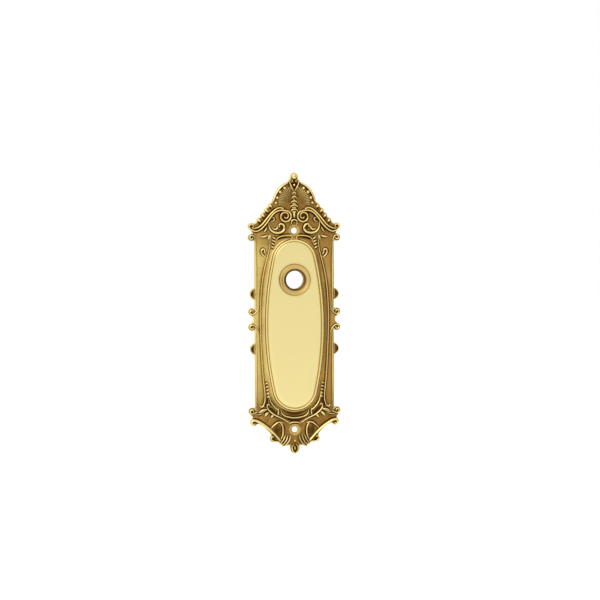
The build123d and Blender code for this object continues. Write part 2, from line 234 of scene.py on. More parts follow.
def keep(shape, group):
    """Puts a finished shape into a group as an object, and returns it."""
    bmesh.ops.remove_doubles(shape, verts=shape.verts, dist=1e-4)
    bmesh.ops.recalc_face_normals(shape, faces=shape.faces)
    mesh = bpy.data.meshes.new("shape")
    shape.to_mesh(mesh)
    shape.free()
    solid = bpy.data.objects.new("shape", mesh)
    group.objects.link(solid)
    return solid


def put(shape, group, both):
    """Keeps a shape where it is drawn, and its mirror image where both sides have it."""
    if both:
        twin = shape.copy()
        bmesh.ops.scale(twin, vec=(-1, 1, 1), verts=twin.verts)
        keep(twin, group)
    keep(shape, group)


def stations(points, half_widths):
    """Points along a line with their half widths, given at its start, middle and end, and rounded ends."""
    start, middle, end = half_widths
    line = []
    for index, point in enumerate(points):
        share = index / (len(points) - 1)
        outer = start if share < 0.5 else end
        line.append((Vector(point), outer + (middle - outer) * sin(pi * share)))
    for tip, inner in ((0, 1), (-1, -2)):
        place, half = line[tip]
        way = (place - line[inner][0]).normalized() * half
        cap = [(place + way * sin(angle), half * cos(angle)) for angle in CAP_ANGLES]
        line = cap[::-1] + line if tip == 0 else line + cap
    return line


def tube(points, half_widths):
    """A round closed tube along a smooth line. Half widths are at its start, middle and end."""
    line = stations(points, half_widths)
    curve = bpy.data.curves.new("line", "CURVE")
    curve.dimensions = "3D"
    curve.bevel_depth = 1.0
    curve.bevel_resolution = TUBE_ROUND
    curve.resolution_u = TUBE_CUTS
    curve.use_fill_caps = True
    spline = curve.splines.new("BEZIER")
    spline.radius_interpolation = "CARDINAL"
    spline.bezier_points.add(len(line) - 1)
    for knot, (place, half) in zip(spline.bezier_points, line):
        knot.handle_left_type = "AUTO"
        knot.handle_right_type = "AUTO"
        knot.radius = half
        knot.co = (*place, 0)
    holder = bpy.data.objects.new("line", curve)
    mesh = bpy.data.meshes.new_from_object(holder)
    shape = bmesh.new()
    shape.from_mesh(mesh)
    bpy.data.objects.remove(holder)
    bpy.data.curves.remove(curve)
    bpy.data.meshes.remove(mesh)
    return shape


def sunk(points, half_widths, depth, group, both):
    """A rounded hollow in the field along a line, to take away."""
    shape = tube(points, half_widths)
    bmesh.ops.scale(shape, vec=(1, 1, depth / max(half_widths)), verts=shape.verts)
    bmesh.ops.translate(shape, vec=(0, 0, FIELD + 0.03), verts=shape.verts)
    put(shape, group, both)


def dish(centre, radius):
    """A shallow round hollow in the field on both sides of the plate, from which a spiral stands up."""
    floor = FIELD - MOAT_DEPTH
    section = [(0, FIELD + 1), (radius, FIELD + 1), (radius, FIELD), (radius - 0.6, floor), (0, floor)]
    put(turned(section, centre), moats, both=True)


def pocket(points, half_widths, both=True):
    """A dark hollow in the field, from which ridges still stand up."""
    sunk(points, half_widths, POCKET, moats, both)


def gouge(points, half_widths, both=True):
    """A dark hollow in the field that is cut through the relief too."""
    sunk(points, half_widths, POCKET, cuts, both)


def slit(points, half_widths, both=True):
    """A narrow hollow, deeper than a gouge, through the relief into the field."""
    sunk(points, half_widths, SLIT, cuts, both)


def bar(points, half_widths, height, both=True):
    """A rounded ridge that stands straight on the field."""
    widths = [width * RIDGE_SPREAD for width in half_widths]
    shape = tube(points, widths)
    rise = (height + RIDGE_SINK) / max(widths)
    bmesh.ops.scale(shape, vec=(1, 1, rise), verts=shape.verts)
    bmesh.ops.translate(shape, vec=(0, 0, FIELD - RIDGE_SINK), verts=shape.verts)
    put(shape, relief, both)


def ridge(points, half_widths, height, both=True, moat=MOAT_DEPTH):
    """A rounded ridge in a moat of this depth, which narrows at its ends and where dark patina and painted
    shade gather.
    """
    bar(points, half_widths, height, both)
    start, middle, end = half_widths
    sunk(points, (start, middle * RIDGE_SPREAD + MOAT_WIDTH, end), moat, moats, both)


def pearl(point, radius, both=True, rise=1.0, stretch=1.0):
    """A bead on the field."""
    shape = bmesh.new()
    bmesh.ops.create_uvsphere(shape, u_segments=16, v_segments=10, radius=radius)
    bmesh.ops.scale(shape, vec=(1, stretch, rise), verts=shape.verts)
    bmesh.ops.translate(shape, vec=(*point, FIELD), verts=shape.verts)
    put(shape, relief, both)


def turned(section, centre=(0, 0)):
    """A solid turned round an upright axis from a section of (radius, height) points that ends there."""
    shape = bmesh.new()
    corners = [shape.verts.new((centre[0] + radius, centre[1], height)) for radius, height in section]
    lines = [shape.edges.new(pair) for pair in zip(corners, corners[1:])]
    bmesh.ops.spin(
        shape,
        geom=corners + lines,
        cent=(*centre, 0),
        axis=(0, 0, 1),
        angle=2 * pi,
        steps=TURN_STEPS,
        use_merge=True,
    )
    return shape


# Oval panel

def oval_arcs():
    """The panel's outline as four arcs: each one's centre, radius, start and sweep, in radians."""
    middle = (PANEL_TOP + PANEL_BOTTOM) / 2
    reach = (PANEL_TOP - PANEL_BOTTOM) / 2 - PANEL_END_RADIUS
    spread = PANEL_HALF_WIDTH - PANEL_END_RADIUS
    side_radius = PANEL_END_RADIUS + (spread**2 + reach**2) / (2 * spread)
    offset = side_radius - PANEL_HALF_WIDTH
    lean = atan2(reach, offset)
    return [
        ((-offset, middle), side_radius, -lean, 2 * lean),
        ((0, middle + reach), PANEL_END_RADIUS, lean, pi - 2 * lean),
        ((offset, middle), side_radius, pi - lean, 2 * lean),
        ((0, middle - reach), PANEL_END_RADIUS, pi + lean, pi - 2 * lean),
    ]


def oval_solid(section):
    """A solid whose side is a section of (offset, height) points carried round the panel's outline."""
    shape = bmesh.new()
    for centre, radius, start, sweep in oval_arcs():
        corners = []
        for offset, height in section:
            reach = radius + offset
            corners.append(
                shape.verts.new((centre[0] + reach * cos(start), centre[1] + reach * sin(start), height))
            )
        lines = [shape.edges.new(pair) for pair in zip(corners, corners[1:])]
        bmesh.ops.spin(
            shape, geom=corners + lines, cent=(*centre, 0), axis=(0, 0, 1), angle=sweep, steps=OVAL_STEPS
        )
    bmesh.ops.remove_doubles(shape, verts=shape.verts, dist=1e-3)
    bmesh.ops.holes_fill(shape, edges=[edge for edge in shape.edges if edge.is_boundary], sides=0)
    return shape


def panel():
    """The panel with its sloped margin, the reed round it and the cove that falls to the field."""
    section = [
        (-4.0, PANEL_LEVEL),
        (-2.4, PANEL_LEVEL - 0.06),
        (-1.0, PANEL_LEVEL - 0.24),
        (-0.2, PANEL_LEVEL - 0.48),
        (0.0, PANEL_LEVEL - 0.7),
        (0.15, PANEL_LEVEL - 0.3),
        (0.4, 5.4),
        (0.8, 5.6),
        (1.15, 5.55),
        (1.45, 5.3),
        (1.7, 4.9),
        (1.9, 4.4),
        (2.3, 3.85),
        (2.9, 3.5),
        (3.7, 3.25),
        (4.7, 3.12),
        (4.7, 2.0),
    ]
    keep(oval_solid(section), relief)


def boss():
    """The round boss on the panel and its collar, which reaches back to the door."""
    section = [
        (0, BOSS_TOP - 0.7),
        (9.1, BOSS_TOP - 0.7),
        (9.8, BOSS_TOP - 0.52),
        (10.5, BOSS_TOP - 0.25),
        (11.0, BOSS_TOP - 0.06),
        (11.3, BOSS_TOP),
        (11.6, BOSS_TOP - 0.15),
        (11.85, BOSS_TOP - 0.6),
        (BOSS_RADIUS, BOSS_TOP - 1.4),
        (BOSS_RADIUS, FIELD),
        (SPINDLE_RADIUS + COLLAR_WALL, FIELD),
        (SPINDLE_RADIUS + COLLAR_WALL, 0),
        (0, 0),
    ]
    keep(turned(section), relief)


# Plate

def tab(y):
    """The outline of a half-round tab on the plate's side."""
    radius = (TAB_HALF_HEIGHT**2 + TAB_REACH**2) / (2 * TAB_REACH)
    lean = 90 - 2 * atan2(TAB_REACH, TAB_HALF_HEIGHT) * 180 / pi
    return turn((SIDE + TAB_REACH - radius, y), radius, 90 - lean, lean - 90)


def right_outline():
    """The right half of the outline, from the top bud down to the bottom one."""
    lobes = [(17.0, 60.2), (20.4, 56.3), (23.3, 52.5), (26.1, 48.6), (29.6, 44.6)]
    points = bow((0, 82.6), (2.9, 78.4), 1.2)
    points += bow((2.9, 78.4), (4.6, 75.7), -0.35)
    points += bow((4.6, 75.7), lobes[0], 1.9)
    for start, end in zip(lobes, lobes[1:]):
        points += bow(start, end, 0.6)
    points += turn(curl_centre(41.2), CURL_RADIUS, 130, -75)
    points += [(32.6, 36.5), (32.8, 35.9)]
    points += turn(curl_centre(32.6), CURL_RADIUS, 85, -139)
    points += tab(-10.9)
    points += turn(curl_centre(-24.6), CURL_RADIUS, 139, -70)
    points += [(32.2, -29.2), (31.9, -30.6), (32.2, -32.0)]
    points += turn(curl_centre(-36.6), CURL_RADIUS, 70, -139)
    points += tab(-53.4)
    points += turn(curl_centre(-101.4), CURL_RADIUS, 139, -55)
    points += [(33.4, -106.0), (33.0, -107.4)]
    points += turn((31.6, -110.2), CURL_RADIUS, 65, -110)
    points += bow((28.4, -111.2), (18.8, -119.6), -0.9)
    points += turn((16.6, -123.0), 2.8, 50, -115)
    points += [(12.8, -125.9)]
    points += bow((12.4, -126.2), (11.2, -127.6), 0.3)
    points += bow((10.1, -127.5), (9.3, -129.3), 0.3)
    points += [(5.4, -128.4)]
    points += bow((3.4, -128.6), (0, -135.0), 1.6)
    return points


def plate():
    """The flat plate with a rounded front edge, to which everything is joined."""
    right = right_outline()
    left = [(-x, y) for x, y in reversed(right) if x > 0.01]
    shape = bmesh.new()
    corners = [shape.verts.new((x, y, 0)) for x, y in right + left]
    bmesh.ops.remove_doubles(shape, verts=corners, dist=0.05)
    floor = shape.faces.new(shape.verts)
    raised = bmesh.ops.extrude_face_region(shape, geom=[floor])["geom"]
    tops = [part for part in raised if isinstance(part, bmesh.types.BMVert)]
    bmesh.ops.translate(shape, vec=(0, 0, FIELD), verts=tops)
    rim = [edge for edge in shape.edges if all(corner in tops for corner in edge.verts)]
    bmesh.ops.bevel(
        shape, geom=rim, offset=EDGE_ROUND, segments=3, profile=0.5, affect="EDGES", material=-1
    )
    return keep(shape, bpy.context.scene.collection)


# Carving

def crest_shell():
    """The shell of the crest: its rim, its flutes and its beads."""
    ridge([(4.9, 74.7), (8.3, 72.9), (11.8, 69.8), (14.4, 65.6), (16.2, 60.6)], (0.5, 0.8, 0.6), HIGH)
    for step in range(14):
        flute = [polar((0, 60), reach, 7 * step - 10) for reach in (4.2, 8.0, 11.9)]
        bar(flute, (0.2, 0.36, 0.5), FLUTE)
    for x, y, radius in ((7.4, 70.7, 1.4), (10.9, 67.7, 1.45), (13.1, 63.3, 1.4), (14.2, 59.4, 1.25)):
        pearl((x, y), radius)


def finial():
    """The bud at the top, the cup under it and its two small curls."""
    pearl((0, 79.7), 2.1, both=False, rise=1.1, stretch=1.25)
    ridge([(0.3, 68.4), (1.6, 70.4), (3.0, 73.4), (3.8, 76.4)], (0.4, 0.7, 0.5), HIGH)
    pocket([(0, 69.8), (0, 72.6), (0, 75.4)], (0.5, 1.9, 1.5), both=False)
    ridge(spiral((2.0, 75.9), 1.3, 0.4, 10, 330, 8), (0.35, 0.45, 0.35), MIDDLE)
    pearl((0, 73.0), 1.2, both=False)


def husk_chain():
    """The chain of husks on the centre line, each a half-round leaf behind the next."""
    for y, half in ((67.2, 1.2), (64.0, 1.9), (60.6, 2.6), (57.4, 3.0), (54.2, 2.7)):
        arch = []
        for angle in range(180, -1, -30):
            arch.append((half * cos(radians(angle)), y - 2.0 + 2.2 * sin(radians(angle))))
        ridge(arch, (0.35, 0.75, 0.35), HIGH, both=False)
        pearl((0, y - 1.8), 0.7 * half, both=False, rise=1.1 / half, stretch=0.6)


def s_scrolls():
    """The long S-scroll: two ridges side by side from the corner curl, the lower one ending in the volute."""
    upper = [(32.4, 39.5), (29.6, 39.9), (26.3, 41.7), (23.3, 44.8), (20.3, 48.6), (16.9, 52.3)]
    upper += [(13.6, 54.8), (11.0, 55.6), (8.6, 54.9)]
    corner = spiral(curl_centre(41.2), 2.1, 0.7, -45, 360, 10)
    lower = [(32.2, 38.0), (29.4, 37.5), (26.5, 38.8), (23.5, 41.4), (20.5, 45.2), (18.0, 48.7)]
    lower += [(15.4, 51.6), (12.4, 53.2), (9.2, 53.6), (6.2, 53.1)]
    volute = spiral((6.9, 48.9), 4.4, 0.7, 130, 560, 20, 1.7)
    ridge(upper, (0.5, 0.75, 0.7), HIGH)
    bar(list(reversed(corner)) + lower + volute, (0.4, 0.75, 0.55), HIGH)
    sunk(lower, (1.3, 1.7, 1.4), MOAT_DEPTH, moats, both=True)
    gap = [Vector(above).lerp(Vector(below), 0.5) for above, below in zip(upper[1:7], lower[1:7])]
    gouge(gap, (0.2, 0.5, 0.2))
    dish(curl_centre(41.2), 2.2)
    dish((6.9, 48.9), 5.0)


def slope_leaves():
    """The small leaves between the S-scroll and the lobed edge above it, with dark notches between them."""
    for x, y in ((18.6, 57.2), (21.6, 53.6), (24.4, 49.8), (27.4, 46.0)):
        bar([(x - 1.5, y - 1.2), (x - 0.4, y - 0.3), (x + 0.5, y + 0.4)], (0.5, 1.0, 0.8), MIDDLE)
        pocket([(x - 0.5, y - 2.6), (x + 0.6, y - 1.7)], (0.6, 0.8, 0.4))


def corner_curls():
    """The small curls at the plate's corners and along its sides."""
    for y in (32.6, -24.6, -36.6, -101.4):
        dish(curl_centre(y), 2.2)
    ridge([(30.0, 30.4)] + spiral(curl_centre(32.6), 2.1, 0.6, 170, -370, 10), (0.4, 0.6, 0.4), MIDDLE)
    side = [(27.9, -20.4), (29.0, -23.4)]
    ridge(side + spiral(curl_centre(-24.6), 2.1, 0.6, 215, 370, 10), (0.4, 0.6, 0.4), MIDDLE)
    side = [(27.9, -40.8), (29.0, -37.8)]
    ridge(side + spiral(curl_centre(-36.6), 2.1, 0.6, 145, -370, 10), (0.4, 0.6, 0.4), MIDDLE)
    ridge([(29.4, -101.8)] + spiral(curl_centre(-101.4), 2.1, 0.6, 225, 360, 10), (0.4, 0.6, 0.4), MIDDLE)


def leaf_scrolls():
    """The C-scroll, the strap and the sprigs between the S-scroll and the panel."""
    c_scroll = [(19.7, 45.0), (19.6, 41.6), (18.3, 38.6), (15.4, 36.6), (12.0, 36.3), (9.2, 37.3)]
    c_scroll += [(7.7, 39.5), (8.2, 41.9), (10.0, 43.2), (11.5, 42.5), (11.5, 41.0)]
    ridge(c_scroll, (0.4, 0.9, 0.55), MIDDLE)
    dish((10.0, 40.9), 2.2)
    strap = [(3.3, 31.9), (2.3, 31.6), (1.6, 32.5), (2.2, 33.7), (3.6, 34.2), (5.8, 34.2), (9.3, 33.8)]
    strap += [(12.6, 32.5), (14.2, 30.4), (14.9, 27.6)]
    ridge(strap, (0.45, 0.65, 0.4), HIGH)
    ridge([(18.6, 44.9), (16.7, 45.2), (15.5, 46.4), (15.9, 47.9), (17.0, 48.0)], (0.3, 0.5, 0.4), LOW)
    ridge([(17.5, 40.2), (15.2, 38.9), (13.2, 39.7), (12.6, 41.4)], (0.3, 0.7, 0.5), LOW)
    gouge([(4.6, 33.0), (9.0, 32.5), (13.0, 31.0)], (0.25, 0.6, 0.4))
    pocket([(15.2, 33.2), (16.0, 29.0), (16.9, 24.2)], (0.7, 1.5, 0.7))
    ridge([(18.9, 35.3), (19.7, 33.0), (20.3, 30.2)], (0.2, 0.8, 0.2), LOW)
    ridge([(19.9, 35.1), (22.8, 33.5), (26.5, 33.3)], (0.2, 0.8, 0.3), LOW)
    ridge([(20.8, 41.5), (22.2, 38.6), (24.2, 36.3)], (0.2, 0.6, 0.2), LOW)
    for x, y in ((15.55, 32.2), (15.95, 29.9), (16.5, 27.65), (16.8, 25.15)):
        ridge([(x - 1.2, y - 0.9), (x, y), (x + 1.2, y + 0.8)], (0.45, 0.7, 0.5), MIDDLE)
        gouge([(x - 0.8, y - 1.8), (x + 0.2, y - 1.2), (x + 1.3, y - 0.4)], (0.2, 0.4, 0.2))


def outer_bead():
    """The bead that runs down outside the cove, from the curl at its top to the curl at its foot."""
    bead = [(18.6, 34.4), (18.8, 30.0), (19.3, 25.0), (20.3, 20.0), (21.6, 15.0), (23.4, 7.5), (24.9, -1.0)]
    bead += [(26.0, -13.0), (26.5, -28.0), (26.3, -42.0), (25.6, -58.0), (24.6, -74.0), (24.0, -80.0)]
    bead += [(23.4, -86.0), (23.2, -91.0), (24.0, -95.5), (25.2, -97.7), (26.5, -98.1), (27.2, -97.0)]
    ridge(bead, (0.5, 0.65, 0.6), MIDDLE, moat=FAINT_MOAT)
    curl = [(21.4, 17.2), (23.6, 18.4), (25.3, 20.7), (25.4, 22.9), (24.0, 23.8), (22.9, 22.6), (23.4, 21.3)]
    ridge(curl, (0.4, 0.65, 0.5), LOW)
    dish((24.0, 22.0), 1.9)
    ridge([(21.2, 19.6), (22.4, 20.5), (23.4, 22.0)], (0.2, 0.5, 0.3), LOW)


def lower_spray():
    """The husks, petals and leaves round the panel's lower end."""
    inner = [(20.8, -86.5), (19.6, -91.5), (18.1, -95.3), (15.7, -98.4), (13.2, -100.6)]
    ridge(inner, (0.4, 0.6, 0.5), MIDDLE)
    petal = [(19.4, -96.9), (20.8, -96.0), (21.6, -97.5), (20.9, -99.8), (18.6, -102.3), (15.5, -104.6)]
    petal += [(12.2, -106.2), (8.4, -108.2), (4.8, -110.6)]
    ridge(petal, (0.4, 0.7, 0.4), MIDDLE)
    pocket([(20.0, -98.0), (17.8, -100.8), (14.4, -103.4)], (0.4, 1.4, 0.4))
    pocket([(21.8, -90.5), (22.0, -94.0), (22.6, -98.0)], (0.5, 1.3, 0.8))
    ridge([(13.0, -99.6), (12.9, -102.2), (13.3, -104.8)], (0.4, 0.7, 0.4), MIDDLE)
    for step in range(5):
        x, y = 21.9 - 0.3 * step, -79.8 - 2.6 * step
        ridge([(x - 1.1, y + 0.5), (x, y), (x + 1.1, y - 0.5)], (0.45, 0.75, 0.45), MIDDLE)


def lower_leaves():
    """The three leaves that hang from the petal towards the lower corner, each with a vein."""
    ridge([(21.2, -100.0), (24.6, -100.8), (28.4, -103.0)], (0.3, 1.15, 0.3), MIDDLE)
    slit([(22.6, -100.4), (24.8, -101.1), (27.0, -102.3)], (0.1, 0.3, 0.1))
    ridge([(19.9, -102.3), (22.0, -103.5), (23.5, -105.3)], (0.3, 1.1, 0.5), MIDDLE)
    ridge([(16.2, -104.2), (17.6, -105.2), (18.9, -106.7)], (0.3, 0.95, 0.4), MIDDLE)
    ridge([(24.0, -102.4), (27.6, -104.0), (31.0, -103.9)], (0.2, 0.4, 0.3), LOW)


def lower_band():
    """The rolled band along the lower slope with its curl, the fan and the pendant's leaves."""
    band = [(31.2, -110.9), (32.3, -111.7), (33.4, -110.4), (32.7, -108.6), (30.4, -108.6), (27.0, -110.2)]
    band += [(23.0, -112.9), (19.0, -116.2), (15.2, -120.2), (11.6, -124.2)]
    ridge(band, (0.5, 1.05, 0.8), HIGH)
    under = [(12.8, -125.0), (15.3, -125.1), (17.8, -124.1), (18.4, -122.3), (17.4, -121.0), (16.3, -122.0)]
    ridge(under, (0.4, 0.65, 0.4), MIDDLE)
    dish((17.0, -122.8), 2.0)
    dish((32.0, -110.2), 2.0)
    ridge([(8.8, -111.0), (12.2, -110.0), (15.8, -111.9), (18.8, -114.9)], (0.3, 0.65, 0.4), MIDDLE)
    fan_side = [(11.4, -110.4), (9.9, -112.6), (9.2, -116.2), (9.7, -120.4), (11.0, -123.4)]
    ridge(fan_side, (0.4, 0.75, 0.5), MIDDLE)
    fan = [(14.6, -111.8), (13.8, -115.0), (12.6, -118.6), (11.6, -122.2)]
    sunk(fan, (1.4, 2.9, 0.4), SHALLOW_POCKET, moats, both=True)
    for step in range(5):
        y = -113.6 - 1.8 * step
        bar([(10.4, y - 0.4), (12.6, y + 0.3), (15.4 - step, y + 1.0)], (0.15, 0.25, 0.15), 0.1)
    ridge([(3.4, -120.4), (4.6, -124.6), (8.0, -128.4)], (0.3, 0.65, 0.3), MIDDLE, moat=FAINT_MOAT)
    ridge([(5.4, -120.2), (6.9, -124.2), (9.7, -127.9)], (0.3, 0.65, 0.3), MIDDLE, moat=FAINT_MOAT)
    ridge([(7.4, -120.0), (9.0, -123.6), (11.4, -126.6)], (0.3, 0.6, 0.3), MIDDLE, moat=FAINT_MOAT)


def tab_rims():
    """The rims round the tabs on the side, each with a dark lens inside it."""
    for y in (-10.9, -53.4):
        rim = []
        for angle in (75, 45, 0, -45, -75):
            rim.append(
                (
                    SIDE + (TAB_REACH - 0.4) * cos(radians(angle)),
                    y + TAB_HALF_HEIGHT * 0.85 * sin(radians(angle)),
                )
            )
        bar(rim, (0.3, 0.32, 0.3), LOW)
        bar([(SIDE + 0.6, y + 3.2), (SIDE + 0.5, y), (SIDE + 0.6, y - 3.2)], (0.25, 0.35, 0.25), LOW)
        pocket([(SIDE + 1.6, y + 2.9), (SIDE + 2.05, y), (SIDE + 1.6, y - 2.9)], (0.6, 1.0, 0.6))


def side_border():
    """The raised edge along the plate's straight sides."""
    for low, high in ((-19.5, 29.5), (-98.5, -41.5)):
        line = [(SIDE - 0.9, low + (high - low) * step / 4) for step in range(5)]
        ridge(line, (0.5, 0.8, 0.5), BORDER, moat=FAINT_MOAT)


def across(points):
    """Points on the right with their mirror images, as one line from left to right."""
    return [(-x, y) for x, y in reversed(points) if x > 0] + points


def centre_line():
    """What lies across the centre line: the drop, the bell, the straps and the pendant's bud."""
    ridge([(0, 51.8), (0, 49.6), (0, 47.6)], (0.7, 1.0, 0.4), MIDDLE, both=False)
    ridge(across([(0, 46.4), (1.7, 45.6), (2.3, 44.0), (1.7, 42.6)]), (0.4, 0.6, 0.4), MIDDLE, both=False)
    strap = [(0, -106.8), (5.0, -106.2), (8.8, -104.7), (10.5, -102.6), (10.7, -100.6)]
    ridge(across(strap), (0.4, 0.6, 0.4), MIDDLE, both=False)
    ridge(across([(0, -110.2), (2.6, -110.5), (4.8, -111.4)]), (0.3, 0.6, 0.3), MIDDLE, both=False)
    crescent = across([(0, -103.6), (4.6, -102.9), (8.4, -100.9), (10.4, -98.8)])
    sunk(crescent, (0.4, 1.5, 0.4), SHALLOW_POCKET, cuts, both=False)
    pocket(across([(0, -108.5), (4.0, -108.0), (7.6, -106.9)]), (0.4, 1.3, 0.4), both=False)
    pearl((0, -124.6), 1.0, both=False)
    bud = [(0.5, -127.2), (1.9, -128.6), (2.3, -130.6), (1.5, -132.8), (0.3, -133.9)]
    ridge(bud, (0.4, 0.55, 0.4), HIGH)
    pearl((0, -130.4), 1.1, both=False, rise=1.5, stretch=1.8)
    slit([(0, -128.8), (0, -130.4), (0, -132.0)], (0.15, 0.35, 0.15), both=False)


# Holes

def screw_hole(y):
    """A screw hole with its countersink, to take away."""
    section = [
        (0, BOSS_TOP + 1),
        (SINK_RADIUS, BOSS_TOP + 1),
        (SINK_RADIUS, FIELD + 0.05),
        (SINK_RADIUS - 0.1, FIELD - 0.1),
        (SCREW_RADIUS, FIELD - SINK_DEPTH),
        (SCREW_RADIUS, -1),
        (0, -1),
    ]
    keep(turned(section, (0, y)), cuts)


def spindle_hole():
    """The hole for the knob's shank, opened out at the front, to take away."""
    section = [
        (0, BOSS_TOP + 1),
        (8.9, BOSS_TOP + 1),
        (8.9, BOSS_TOP - 0.7),
        (8.4, BOSS_TOP - 0.85),
        (7.7, BOSS_TOP - 1.1),
        (7.2, BOSS_TOP - 1.35),
        (SPINDLE_RADIUS, BOSS_TOP - 1.6),
        (SPINDLE_RADIUS, -1),
        (0, -1),
    ]
    keep(turned(section), cuts)


def hollow():
    """The hollow behind the panel, round the boss's collar, to take away."""
    space = keep(oval_solid([(-HOLLOW_MARGIN, HOLLOW_DEPTH), (-HOLLOW_MARGIN, -1)]), cuts)
    wall = SPINDLE_RADIUS + COLLAR_WALL
    collar = keep(turned([(0, 8), (wall, 8), (wall, -2), (0, -2)]), bpy.context.scene.collection)
    cut = space.modifiers.new("collar", "BOOLEAN")
    cut.operation = "DIFFERENCE"
    cut.solver = "MANIFOLD"
    cut.object = collar
    apply_modifiers(space)
    bpy.data.objects.remove(collar)


def apply_modifiers(solid):
    """Turns a solid's modifiers into its own mesh."""
    shown = solid.evaluated_get(bpy.context.evaluated_depsgraph_get())
    solid.data = bpy.data.meshes.new_from_object(shown)
    solid.modifiers.clear()


def cleaned(mesh):
    """Takes out what is too small to see: edges and faces of no size, and specks shut inside the metal."""
    shape = bmesh.new()
    shape.from_mesh(mesh)
    bmesh.ops.dissolve_degenerate(shape, dist=TOO_SMALL, edges=shape.edges)
    loose = [corner for corner in shape.verts if not corner.link_faces]
    bmesh.ops.delete(shape, geom=loose, context="VERTS")
    waiting = set(shape.verts)
    while waiting:
        part = {waiting.pop()}
        rim = list(part)
        while rim:
            here = rim.pop()
            nearby = {edge.other_vert(here) for edge in here.link_edges} - part
            part |= nearby
            rim += nearby
        waiting -= part
        if len(part) < SPECK:
            bmesh.ops.delete(shape, geom=list(part), context="VERTS")
    shape.to_mesh(mesh)
    shape.free()


def mark_edge(mesh):
    """Marks the faces of the plate's rounded edge and of its side walls, which are polished bright by wear
    and painted with a highlight.
    """
    outline = right_outline()
    points = []
    for start, end in zip(outline, outline[1:]):
        count = ceil(dist(start, end) / ARC_CUT)
        points += [Vector(start).lerp(Vector(end), step / count) for step in range(count)]
    edge = KDTree(len(points))
    for index, point in enumerate(points):
        edge.insert((*point, 0), index)
    edge.balance()
    mark = mesh.attributes.new("edge", "FLOAT", "FACE")
    for face in mesh.polygons:
        x, y, z = face.center
        gap = edge.find((abs(x), y, 0))[2]
        mark.data[face.index].value = float(gap < EDGE_BAND and 0.05 < z < FIELD - 0.02)


def mark_back(mesh):
    """Marks the faces at the back and in the hollow behind the panel, which are left as cast."""
    mark = mesh.attributes.new("back", "FLOAT", "FACE")
    for face in mesh.polygons:
        x, y, z = face.center
        behind_panel = abs(x) < PANEL_HALF_WIDTH and PANEL_BOTTOM < y < PANEL_TOP and z < HOLLOW_DEPTH
        wall = behind_panel and abs(face.normal.z) < BACK_LEAN
        mark.data[face.index].value = float(face.normal.z < -BACK_LEAN or wall)


def cast():
    """Joins everything into one casting, cuts its holes and stands it up."""
    casting = plate()
    panel()
    boss()
    crest_shell()
    finial()
    husk_chain()
    s_scrolls()
    slope_leaves()
    corner_curls()
    leaf_scrolls()
    outer_bead()
    lower_spray()
    lower_leaves()
    lower_band()
    tab_rims()
    side_border()
    centre_line()
    screw_hole(SCREW_TOP)
    screw_hole(SCREW_BOTTOM)
    spindle_hole()
    hollow()
    for group, operation in ((moats, "DIFFERENCE"), (relief, "UNION"), (cuts, "DIFFERENCE")):
        step = casting.modifiers.new(group.name, "BOOLEAN")
        step.operation = operation
        step.solver = "MANIFOLD"
        step.operand_type = "COLLECTION"
        step.collection = group
    apply_modifiers(casting)
    for group in (moats, relief, cuts):
        for solid in list(group.objects):
            bpy.data.objects.remove(solid)
        bpy.data.collections.remove(group)
    cleaned(casting.data)
    mark_edge(casting.data)
    mark_back(casting.data)
    casting.name = "backplate_casting"
    casting.data.transform(Matrix.Rotation(radians(90), 4, "X") @ Matrix.Scale(0.001, 4))
    casting.data.shade_smooth()
    casting.data.set_sharp_from_angle(angle=radians(SHARP_ANGLE))
    return casting


# Brass

def span(tree, value, low, high, start=0.0, end=1.0):
    """A value read between two limits, eased, as a share between a start and an end."""
    node = tree.nodes.new("ShaderNodeMapRange")
    node.interpolation_type = "SMOOTHSTEP"
    node.inputs["From Min"].default_value = low
    node.inputs["From Max"].default_value = high
    node.inputs["To Min"].default_value = start
    node.inputs["To Max"].default_value = end
    tree.links.new(value, node.inputs["Value"])
    return node.outputs["Result"]


def risen(tree, out, limits, start=0.0, end=1.0):
    """A share by height above the door, between two heights in millimetres. Out is negative Y, in metres."""
    return span(tree, out, -0.001 * limits[0], -0.001 * limits[1], start, end)


def within(tree, distance, outer, inner, share=1.0):
    """A share inside a radius, which fades out to an outer one, both in millimetres."""
    return span(tree, distance, 0.001 * outer, 0.001 * inner, 0.0, share)


def worked(tree, operation, first, second):
    """Two values, or a value and a number, put together by one sum."""
    node = tree.nodes.new("ShaderNodeMath")
    node.operation = operation
    tree.links.new(first, node.inputs[0])
    if isinstance(second, float):
        node.inputs[1].default_value = second
    else:
        tree.links.new(second, node.inputs[1])
    return node.outputs["Value"]


def mixed(tree, share, under, over):
    """One colour laid over another by a share. A colour is a socket or three numbers."""
    node = tree.nodes.new("ShaderNodeMix")
    node.data_type = "RGBA"
    tree.links.new(share, node.inputs["Factor"])
    for socket, colour in ((node.inputs[6], under), (node.inputs[7], over)):
        if isinstance(colour, tuple):
            socket.default_value = (*colour, 1)
        else:
            tree.links.new(colour, socket)
    return node.outputs[2]


def cloud(tree, place, scale, detail):
    """A soft random pattern, finer with a larger scale."""
    node = tree.nodes.new("ShaderNodeTexNoise")
    node.inputs["Scale"].default_value = scale
    node.inputs["Detail"].default_value = detail
    tree.links.new(place, node.inputs["Vector"])
    return node.outputs["Fac"]


def from_axis(tree, place, y):
    """The distance of a point from the axis of a hole at this height on the centre line."""
    node = tree.nodes.new("ShaderNodeVectorMath")
    node.operation = "MULTIPLY_ADD"
    node.inputs[1].default_value = (1, 0, 1)
    node.inputs[2].default_value = (0, 0, -0.001 * y)
    tree.links.new(place, node.inputs[0])
    length = tree.nodes.new("ShaderNodeVectorMath")
    length.operation = "LENGTH"
    tree.links.new(node.outputs["Vector"], length.inputs[0])
    return length.outputs["Value"]


